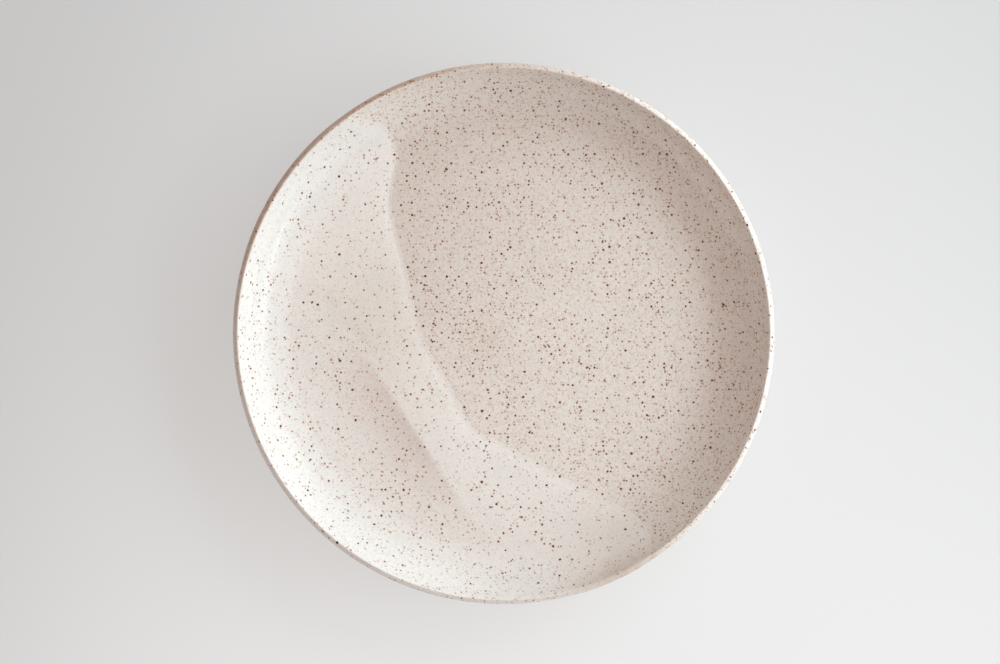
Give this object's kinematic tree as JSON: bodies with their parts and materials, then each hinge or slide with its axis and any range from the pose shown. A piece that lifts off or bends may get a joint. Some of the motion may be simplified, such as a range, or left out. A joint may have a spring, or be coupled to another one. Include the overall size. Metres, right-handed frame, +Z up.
{
  "type": "coupe dinner plate",
  "caption": "Round coupe dinner plate in speckled stoneware, with a flat floor, upturned wall, rounded lip, foot ring and overlapping dipped glaze coats.",
  "frame": {"origin": "middle of the foot ring, on the surface that the plate lies on", "axes": "+Z up out of the face; +X to the right and +Y up the face as the picture shows it"},
  "size_m": [0.2707, 0.2707, 0.0288],
  "materials": {
    "clay": "bare fired stoneware with iron specks, matt",
    "first_glaze": "warm cream glaze with brown iron specks, glossy",
    "second_glaze": "white cream glaze with fewer specks, glossy"
  },
  "bodies": {
    "root": {"stoneware_body": "clay", "first_glaze_coat": "first_glaze", "second_glaze_coat": "second_glaze", "first_recess_glaze": "first_glaze", "second_recess_glaze": "second_glaze"}
  },
  "joints": []
}
